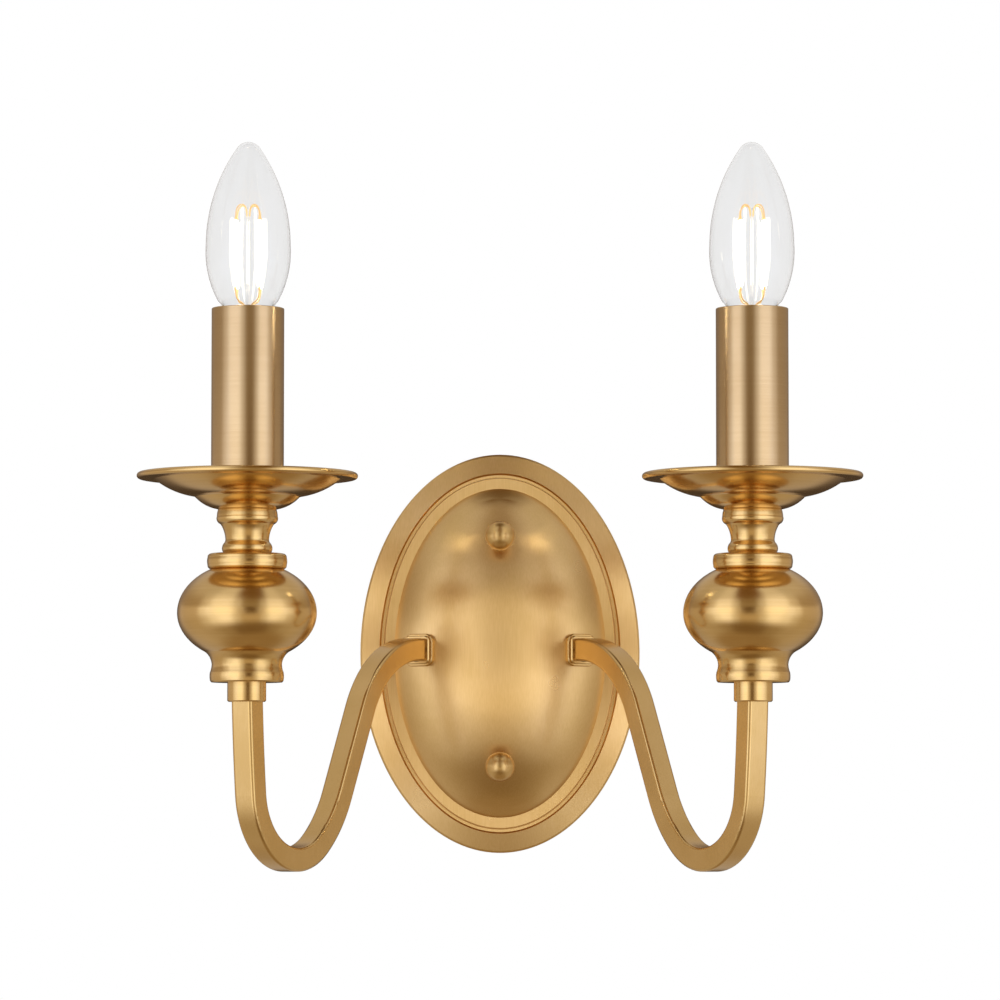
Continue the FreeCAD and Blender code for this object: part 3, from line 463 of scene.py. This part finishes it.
def brass(name, marks_from, roughness, bump=0.02, brushed=0.0, colours=(BRASS, BRASS_AGED)):
    """Lacquered satin brass. marks_from turns the object position into the marks' coordinates."""
    material, tree, surface = new_surface(name)
    place = object_place(tree)
    marks = place_group(tree, satin)
    tree.links.new(marks_from(tree, place), marks.inputs["Marks"])
    tree.links.new(place, marks.inputs["Place"])
    patches = marks.outputs["Patches"]
    streaks = ranged(tree, marks.outputs["Height"], *STREAK_SPAN, -STREAKS, STREAKS)
    worn = maths(tree, "ADD", ranged(tree, patches, *PATCH_SPAN), streaks, clamp=True)
    tree.links.new(blended(tree, worn, *colours), surface.inputs["Base Color"])
    tree.links.new(
        ranged(tree, patches, *PATCH_SPAN, roughness - 0.02, roughness + 0.03),
        surface.inputs["Roughness"],
    )
    relief(tree, surface, marks.outputs["Height"], bump)
    surface.inputs["Metallic"].default_value = 1
    surface.inputs["Anisotropic"].default_value = brushed
    surface.inputs["Coat Weight"].default_value = COAT
    surface.inputs["Coat Roughness"].default_value = COAT_ROUGHNESS
    return material


def candle_marks(tree, place):
    """Rings about either candle axis."""
    mirror = tree.nodes.new("ShaderNodeVectorMath")
    mirror.operation = "ABSOLUTE"
    tree.links.new(place, mirror.inputs[0])
    shift = tree.nodes.new("ShaderNodeVectorMath")
    shift.operation = "SUBTRACT"
    shift.inputs[1].default_value = (CANDLE_X * MM, -CANDLE_Y * MM, 0)
    tree.links.new(mirror.outputs["Vector"], shift.inputs[0])
    rings = place_group(tree, about_axis)
    tree.links.new(shift.outputs["Vector"], rings.inputs["Position"])
    return rings.outputs["Around"]


def stretched(scale):
    """Straight marks, long along each axis whose scale is small."""

    def marks(tree, place):
        mapping = tree.nodes.new("ShaderNodeMapping")
        mapping.inputs["Scale"].default_value = scale
        tree.links.new(place, mapping.inputs["Vector"])
        return mapping.outputs["Vector"]

    return marks


def clear_glass(name, grey):
    material, _, surface = new_surface(name)
    surface.inputs["Base Color"].default_value = (grey, grey, grey, 1)
    surface.inputs["Roughness"].default_value = 0.0
    surface.inputs["IOR"].default_value = GLASS_BENDING
    surface.inputs["Transmission Weight"].default_value = 1
    return material


def glowing(name):
    """A lit strip: white-hot in the middle, and dim where it turns away from the eye."""
    material, tree, surface = new_surface(name)
    facing = tree.nodes.new("ShaderNodeLayerWeight")
    facing.inputs["Blend"].default_value = 0.4
    edge = ranged(tree, facing.outputs["Facing"], 0.45, 0.9, smooth=True)
    colour = blended(tree, edge, STRIP_GLOW, STRIP_EDGE)
    tree.links.new(colour, surface.inputs["Emission Color"])
    surface.inputs["Emission Strength"].default_value = STRIP_BRIGHTNESS
    surface.inputs["Base Color"].default_value = STRIP_COATING
    surface.inputs["Roughness"].default_value = 0.5
    return material


def plain(name, colour, roughness, metallic=0.0, glow=0.0):
    """Any plain surface, with slow patches and a faint grain. A painted glow is given to the lead
    wires, though they are no lamp.
    """
    material, tree, surface = new_surface(name)
    surface.inputs["Emission Color"].default_value = PAINTED_WIRE_GLOW
    surface.inputs["Emission Strength"].default_value = glow
    place = object_place(tree)
    marks = place_group(tree, satin)
    tree.links.new(place, marks.inputs["Marks"])
    tree.links.new(place, marks.inputs["Place"])
    patches = marks.outputs["Patches"]
    darker = tuple(channel * (1 - PLAIN_DARKENING) for channel in colour)
    worn = ranged(tree, patches, *PATCH_SPAN)
    tree.links.new(blended(tree, worn, colour, darker), surface.inputs["Base Color"])
    tree.links.new(
        ranged(tree, patches, *PATCH_SPAN, roughness - 0.03, roughness + 0.05),
        surface.inputs["Roughness"],
    )
    relief(tree, surface, marks.outputs["Height"], PLAIN_BUMP)
    surface.inputs["Metallic"].default_value = metallic
    return material


def dress(material, *names):
    for name in names:
        mesh = nodes[name].data
        mesh.materials.clear()
        mesh.materials.append(material)


def both(*names):
    return [name + "_" + side for name in names for side in SIDES]


# Modelling, by the operators that a hand would use

# How close points have to lie to become one, as an outline is spun and as a shell is closed
SPIN_WELD = 0.001 * MM
SHELL_WELD = 0.002 * MM

# One tooth of each thread, as (how far out, how far up) in parts of its depth and pitch
METRIC_TOOTH = [(0, 0), (0, 0.2), (1, 0.52), (1, 0.68), (0, 1)]
KNUCKLE_TOOTH = [(0, 0), (0.15, 0.125), (0.5, 0.25), (0.85, 0.375), (1, 0.5)]
KNUCKLE_TOOTH += [(0.85, 0.625), (0.5, 0.75), (0.15, 0.875), (0, 1)]

# The terminal screws' rows and columns, in mm
SCREW_ROWS = (-18, -10, -2)
SCREW_COLUMN = 4.5


def only(*pieces):
    bpy.ops.object.select_all(action="DESELECT")
    for piece in pieces:
        piece.select_set(True)
    bpy.context.view_layer.objects.active = pieces[0]


def edit(piece):
    only(piece)
    bpy.ops.object.mode_set(mode="EDIT")
    bpy.ops.mesh.select_all(action="SELECT")


def done():
    bpy.ops.object.mode_set(mode="OBJECT")


def with_modifier(piece, kind, **settings):
    only(piece)
    modifier = piece.modifiers.new(kind.lower(), kind)
    for label, value in settings.items():
        setattr(modifier, label, value)
    bpy.ops.object.modifier_apply(modifier=modifier.name)


def close_shell(piece):
    edit(piece)
    bpy.ops.mesh.remove_doubles(threshold=SHELL_WELD)
    bpy.ops.mesh.normals_make_consistent(inside=False)
    done()


def outline(name, points):
    """A line in the XZ plane through (radius, height) points in mm, drawn from one point."""
    bpy.ops.object.select_all(action="DESELECT")
    bpy.ops.mesh.primitive_plane_add(size=MM)
    piece = bpy.context.object
    piece.name = name
    edit(piece)
    bpy.ops.mesh.merge(type="CENTER")
    radius, height = points[0]
    bpy.ops.transform.translate(value=(radius * MM, 0, height * MM))
    for (radius, height), (next_radius, next_height) in zip(points, points[1:]):
        step = ((next_radius - radius) * MM, 0, (next_height - height) * MM)
        bpy.ops.mesh.extrude_vertices_move(TRANSFORM_OT_translate={"value": step})
    done()
    return piece


def spun(piece, steps, rise=0.0, turns=1):
    """Sweeps an outline about Z, closed on itself or up a helix with a rise in mm per turn."""
    with_modifier(
        piece,
        "SCREW",
        axis="Z",
        angle=2 * math.pi,
        screw_offset=rise * MM,
        iterations=turns,
        steps=steps,
        render_steps=steps,
        use_merge_vertices=True,
        merge_threshold=SPIN_WELD,
    )
    close_shell(piece)
    return piece


def turned(name, points, steps=48):
    """A solid turned about Z from its outline."""
    return spun(outline(name, points), steps)


def threaded(name, crest, root, pitch, low, high, tooth):
    """A thread about Z: one tooth carried up a helix, then cut square at both ends."""
    turns = math.ceil((high - low) / pitch) + 2
    points = [(root + (crest - root) * out, low + pitch * (up - 1)) for out, up in tooth]
    rod = spun(outline(name, points), steps=24, rise=pitch, turns=turns)
    for height, below in ((low, True), (high, False)):
        edit(rod)
        bpy.ops.mesh.bisect(
            plane_co=(0, 0, height * MM),
            plane_no=(0, 0, 1),
            use_fill=True,
            clear_inner=below,
            clear_outer=not below,
        )
        done()
    close_shell(rod)
    return rod


def combined(piece, other, operation):
    with_modifier(piece, "BOOLEAN", object=other, operation=operation, solver="EXACT")
    bpy.data.objects.remove(other)


def joined(name, pieces):
    only(*pieces)
    bpy.ops.object.join()
    piece = bpy.context.object
    piece.name = name
    return piece


def copied(piece):
    only(piece)
    bpy.ops.object.duplicate(linked=False)
    return bpy.context.object


def settle(piece, place, turn=(0, 0, 0)):
    """Moves a piece, in mm, and puts its place into its mesh."""
    piece.location = [value * MM for value in place]
    piece.rotation_euler = turn
    only(piece)
    bpy.ops.object.transform_apply(location=True, rotation=True, scale=True)
    return piece


def copied_to(piece, spots):
    """Copies a piece to each (place, turn), and takes the first one away."""
    copies = [settle(copied(piece), place, turn) for place, turn in spots]
    bpy.data.objects.remove(piece)
    return copies


def block(name, centre, size):
    """A block of a size, about a centre, both in mm."""
    bpy.ops.object.select_all(action="DESELECT")
    bpy.ops.mesh.primitive_cube_add(size=MM)
    piece = bpy.context.object
    piece.name = name
    edit(piece)
    bpy.ops.transform.resize(value=size, center_override=(0, 0, 0))
    done()
    return settle(piece, centre)


def finish_piece(piece, material, finish, body, *stands_for, angle=35):
    """Gives a piece its material, its body, and the CAD pieces that it stands for."""
    if piece.type == "MESH":
        only(piece)
        bpy.ops.object.shade_smooth_by_angle(angle=math.radians(angle))
    piece.data.materials.clear()
    piece.data.materials.append(material)
    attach(piece, body)
    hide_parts(*stands_for)


def bent_rod(name, points, radius, fine=8):
    """A round lead or wire along a smooth curve, with control points in mm."""
    curve = bpy.data.curves.new(name, "CURVE")
    curve.dimensions = "3D"
    spline = curve.splines.new("NURBS")
    spline.points.add(len(points) - 1)
    for point, place in zip(spline.points, points):
        point.co = (*[value * MM for value in place], 1)
    spline.order_u = 3
    spline.use_endpoint_u = True
    curve.bevel_depth = radius * MM
    curve.bevel_resolution = 3
    curve.resolution_u = fine
    curve.use_fill_caps = True
    piece = bpy.data.objects.new(name, curve)
    bpy.context.scene.collection.objects.link(piece)
    return piece


def meshed(piece):
    only(piece)
    bpy.ops.object.convert(target="MESH")
    piece = bpy.context.object
    close_shell(piece)
    return piece


def arm_heading(side):
    return Vector((side * math.cos(ARM_SPREAD), -math.sin(ARM_SPREAD), 0))


def arm_place(side, along, height):
    """A place in an arm's upright plane, in mm: so far out from its root, and so high."""
    root = Vector((side * ARM_ROOT.x, ARM_ROOT.y, 0))
    place = root + arm_heading(side) * along
    return (place.x, place.y, height)


def bracket_studs():
    """The two studs that the ball nuts screw on, one modelled and the other copied."""
    stud = threaded("stud", crest=2.0, root=1.57, pitch=0.7, low=3.6, high=33.8, tooth=METRIC_TOOTH)
    core = turned(
        "core",
        [
            (0, 1.8),
            (3.3, 1.8),
            (3.6, 2.1),
            (3.6, 3.6),
            (3.2, 4.0),
            (1.62, 4.0),
            (1.62, 33.9),
            (1.3, 34.2),
            (0, 34.2),
        ],
        steps=32,
    )
    combined(stud, core, "UNION")
    forward = (math.pi / 2, 0, 0)
    spots = [((0, 0, end * STUD_HEIGHT), forward) for end in ENDS.values()]
    return joined("bracket_studs_cut", copied_to(stud, spots))


def arm_nipples():
    """The threaded ends that hold the arms to the plate, one modelled and the other copied."""
    nipple = threaded(
        "nipple", crest=5.0, root=4.4, pitch=1.0, low=-8.5, high=-0.4, tooth=METRIC_TOOTH
    )
    spigot = turned("spigot", [(0, -8.3), (4.0, -8.3), (4.0, 5.2), (3.7, 5.5), (0, 5.5)])
    combined(nipple, spigot, "UNION")
    bore = turned("bore", [(0, -9), (3.5, -9), (3.1, -8), (3.1, 5), (3.4, 6), (0, 6)])
    combined(nipple, bore, "DIFFERENCE")
    spots = []
    for side in SIDES.values():
        turn = arm_heading(side).to_track_quat("Z", "Y").to_euler()
        spots.append((arm_place(side, 0, ARM_ROOT.z), turn))
    return joined("arm_nipples_cut", copied_to(nipple, spots))


def terminal_screws():
    """Slotted clamping screws, one modelled and the rest copied."""
    foot = 9.7
    head = foot + 3.2
    screw = turned(
        "screw",
        [(0, foot), (1.9, foot), (1.9, foot + 2.9), (1.6, head), (0, head)],
        steps=24,
    )
    combined(screw, block("slot", centre=(0, 0, head), size=(0.6, 5, 1.8)), "DIFFERENCE")
    screws = []
    for row, height in enumerate(SCREW_ROWS):
        for column in (-1, 1):
            # Each slot stands at a turn of its own
            turn = math.radians(25 + 50 * row + 35 * column)
            copy = settle(copied(screw), (0, 0, 0), (0, 0, turn))
            place = (column * SCREW_COLUMN, 0, height)
            screws.append(settle(copy, place, (math.pi / 2, 0, 0)))
    bpy.data.objects.remove(screw)
    return joined("terminal_screws_cut", screws)


def arm_lead(name, side):
    """The lead from the terminal block, through an arm, up to the lampholder."""
    behind = [
        (side * 7.0, -8.0, -10.0),
        (side * 17.5, -7.6, -10.2),
        (side * 23.2, -6.8, -4.6),
        (side * 26.2, -9.2, 0.4),
        (side * 30.08, -15.49, 0.8),
    ]
    inside = [
        (19.66, 0.8),
        (42.48, -13.51),
        (72.02, -74.63),
        (89.39, -88.05),
        (105.51, -90.09),
        (120.43, -83.66),
        (130.03, -70.55),
        (133.96, -31.15),
        (133.96, 96.0),
    ]
    points = behind + [arm_place(side, along, height) for along, height in inside]
    return bent_rod(name, points, radius=1.5, fine=12)


# Pieces of a candle and its lamp, each modelled on the Z axis


def stem_tube():
    tube = threaded("tube", crest=5.0, root=4.4, pitch=1.0, low=-19, high=86, tooth=METRIC_TOOTH)
    bore = turned("bore", [(0, -20), (4.0, -20), (3.6, -18.6), (3.6, 85.6), (4.0, 87), (0, 87)])
    combined(tube, bore, "DIFFERENCE")
    return tube


def arc_through(start, middle, end, steps):
    """Points on the round that passes through three (radius, height) points, after the first."""
    (ax, az), (bx, bz), (cx, cz) = start, middle, end
    twice = 2 * (ax * (bz - cz) + bx * (cz - az) + cx * (az - bz))
    a, b, c = ax**2 + az**2, bx**2 + bz**2, cx**2 + cz**2
    x = (a * (bz - cz) + b * (cz - az) + c * (az - bz)) / twice
    z = (a * (cx - bx) + b * (ax - cx) + c * (bx - ax)) / twice
    radius = math.hypot(ax - x, az - z)
    first = math.atan2(az - z, ax - x)
    sweep = math.remainder(math.atan2(cz - z, cx - x) - first, 2 * math.pi)
    angles = [first + sweep * step / steps for step in range(1, steps + 1)]
    return [(x + radius * math.cos(angle), z + radius * math.sin(angle)) for angle in angles]


def bulb():
    """The clear bulb: half its outline, spun, closed at the tip, with a thin wall."""
    points = [(0, 207.4), (0.9, 207.33)]
    points += arc_through((0.9, 207.33), (2.6, 206.8), (4.3, 205.5), steps=5)
    points += arc_through((4.3, 205.5), (12.7, 189.9), (17.5, 165.0), steps=26)
    points += arc_through((17.5, 165.0), (16.4, 151.6), (12.4, 141.2), steps=14)
    points += arc_through((12.4, 141.2), (8.9, 136.2), (7.4, 129.36), steps=8)
    glass = turned("bulb_wall", points, steps=96)
    with_modifier(glass, "SOLIDIFY", thickness=0.6 * MM, offset=-1, use_quality_normals=True)
    return glass


def glass_stem():
    """The flared glass tube, pinched shut, with its thin post."""
    return turned(
        "stem",
        [
            (0, 134.4),
            (1.6, 134.0),
            (2.5, 132.8),
            (3.3, 131.2),
            (5.0, 130.0),
            (6.3, 129.6),
            (6.55, 130.1),
            (5.3, 130.8),
            (4.0, 132.0),
            (3.2, 133.6),
            (2.8, 135.2),
            (2.5, 137.2),
            (1.8, 138.4),
            (1.0, 139.0),
            (0.5, 139.8),
            (0.5, 179.2),
            (0.35, 179.8),
            (0, 180),
        ],
    )


def four_round(name, piece):
    """Copies a piece to four places round Z and joins them."""
    spots = [((0, 0, 0), (0, 0, math.radians(45 + 90 * quarter))) for quarter in range(4)]
    return joined(name, copied_to(piece, spots))


def light_strips():
    strip = turned(
        "strip",
        [
            (0, 146.8),
            (0.6, 146.9),
            (1.0, 147.3),
            (1.15, 147.9),
            (1.15, 173.3),
            (1.0, 173.9),
            (0.6, 174.3),
            (0, 174.4),
        ],
        steps=16,
    )
    return four_round("strips", settle(strip, (STRIP_CIRCLE, 0, 0)))


def lead_wires():
    """Bent wires from the pinch to the strips' feet, and hooks from their tops to the post."""
    reach = STRIP_CIRCLE
    low_route = [(1.3, 0, 137.4), (1.6, 0, 140.2), (reach, 0, 141.4), (reach, 0, 146.0)]
    hook_route = [(reach, 0, 175.6), (reach, 0, 180.6), (0.8, 0, 181.4), (0.8, 0, 176.5)]
    parts = [meshed(bent_rod("wire", route, radius=0.3)) for route in (low_route, hook_route)]
    for height in (146.2, 175.0):
        tab = block("tab", centre=(reach, 0, height), size=(0.35, 1.1, 2.2))
        edit(tab)
        bpy.ops.mesh.bevel(offset=0.1 * MM, segments=2)
        done()
        parts.append(tab)
    return four_round("wires", joined("wire_set", parts))


def screw_cap():
    """The lamp's cap: a rounded thread rolled in thin metal, with a shoulder and a flared lip."""
    cap = threaded(
        "cap", crest=6.95, root=6.2, pitch=2.822, low=114.2, high=126.4, tooth=KNUCKLE_TOOTH
    )
    foot = turned(
        "foot", [(0, 112.5), (5.7, 112.5), (6.1, 112.8), (6.5, 114.0), (6.4, 115.0), (0, 115.0)]
    )
    combined(cap, foot, "UNION")
    lip = turned(
        "lip",
        [
            (0, 125.6),
            (6.45, 125.6),
            (6.9, 126.6),
            (6.95, 128.0),
            (7.4, 128.8),
            (7.9, 129.8),
            (7.9, 131.0),
            (0, 131.0),
        ],
    )
    combined(cap, lip, "UNION")
    hollow = turned(
        "hollow",
        [
            (0, 112.0),
            (5.15, 112.0),
            (5.15, 112.8),
            (5.85, 113.2),
            (5.85, 126.4),
            (6.6, 127.4),
            (6.65, 128.2),
            (7.6, 130.0),
            (7.6, 131.5),
            (0, 131.5),
        ],
    )
    combined(cap, hollow, "DIFFERENCE")
    return cap


def on_candle(name, piece, side):
    """Copies a piece from the Z axis to the candle on one side."""
    copy = settle(copied(piece), (side * CANDLE_X, CANDLE_Y, 0))
    copy.name = name
    return copy


# The whole scene: camera and studio, finishes, and the finer pieces

place_camera()
studio()

turned_brass = brass("turned_brass", candle_marks, roughness=0.18)
# Painted shade: the tubes' brass is darker than the turned brass
sleeve_brass = brass(
    "sleeve_brass", candle_marks, roughness=0.21, colours=(SLEEVE_BRASS, SLEEVE_AGED)
)
# Painted light: the plate's brass is lighter than the turned brass
pressed_brass = brass(
    "pressed_brass",
    stretched((1, 1, 0.03)),
    roughness=0.29,
    bump=0.06,
    brushed=0.75,
    colours=(PLATE_BRASS, PLATE_AGED),
)
drawn_brass = brass("drawn_brass", stretched((1, 1, 0.08)), roughness=0.24)
small_brass = brass("small_brass", stretched((1, 0.1, 1)), roughness=0.3)
zinc = plain("zinc_plate", (0.62, 0.62, 0.58), roughness=0.35, metallic=1.0)
nickel = plain("nickel_plate", (0.72, 0.70, 0.66), roughness=0.18, metallic=1.0)
# The lead wires get a painted glow, though they are no lamp
wire_metal = plain("wire_metal", (0.85, 0.52, 0.2), roughness=0.4, metallic=0.4, glow=0.5)
bulb_glass = clear_glass("bulb_glass", grey=0.917)
stem_material = clear_glass("stem_glass", grey=0.98)
lit_strip = glowing("lit_strip")
black_glass = plain("insulator_glass", (0.02, 0.02, 0.02), roughness=0.12)
solder = plain("solder", (0.6, 0.6, 0.6), roughness=0.4, metallic=1.0)
holder_plastic = plain("holder_plastic", (0.03, 0.03, 0.03), roughness=0.4)
block_plastic = plain("block_plastic", (0.8, 0.8, 0.77), roughness=0.45)
sheath = plain("flex_sheath", (0.75, 0.72, 0.62), roughness=0.4)

dress(turned_brass, *both("knop", "knop_ring", "neck", "drip_pan", "arm_collar"))
dress(sleeve_brass, *both("candle_tube"))
dress(pressed_brass, "back_plate")
dress(drawn_brass, *both("arm", "arm_ferrule"))
dress(small_brass, *NUT_PIECES)
dress(
    zinc,
    "wall_bracket",
    "stud_lock_nuts",
    "earth_terminal",
    "arm_washers",
    "arm_lock_nuts",
    *both("stem_nut"),
)
dress(nickel, *both("socket_shell", "socket_contact"))
dress(black_glass, *both("lamp_insulator"))
dress(solder, *both("lamp_contact"))
dress(holder_plastic, *both("lampholder"))
dress(block_plastic, "terminal_block")

finish_piece(bracket_studs(), zinc, "zinc_steel", "sconce", "bracket_studs")
finish_piece(arm_nipples(), zinc, "zinc_steel", "sconce", "arm_nipples")
finish_piece(terminal_screws(), zinc, "zinc_steel", "sconce", "terminal_screws")

# One of each on the Z axis, which both sides get a copy of. A lamp's pieces are listed with
# material, finish, the start of the name of what they stand for, and the smoothing angle.
tube = stem_tube()
lamp_pieces = [
    ("bulb_", bulb(), bulb_glass, "clear_glass", "lamp_glass_", 60),
    ("glass_stem_", glass_stem(), stem_material, "clear_glass", "lamp_mount_", 60),
    ("light_strips_", light_strips(), lit_strip, "filament_coating", "lamp_filaments_", 50),
    ("lead_wires_", lead_wires(), wire_metal, "nickel", "lamp_mount_", 50),
    ("screw_cap_", screw_cap(), nickel, "nickel", "lamp_cap_", 50),
]
for name, side in SIDES.items():
    copy = on_candle("threaded_tube_" + name, tube, side)
    finish_piece(copy, zinc, "zinc_steel", "sconce", "stem_tube_" + name)
    lead = arm_lead("arm_lead_" + name, side)
    finish_piece(lead, sheath, "flex_sheath", "sconce", "arm_flex_" + name)
    for label, piece, material, finish, stands_for, angle in lamp_pieces:
        copy = on_candle(label + name, piece, side)
        finish_piece(copy, material, finish, "lamp_" + name, stands_for + name, angle=angle)
for piece in [tube] + [row[1] for row in lamp_pieces]:
    bpy.data.objects.remove(piece)

bpy.context.scene.view_settings.view_transform = "Standard"
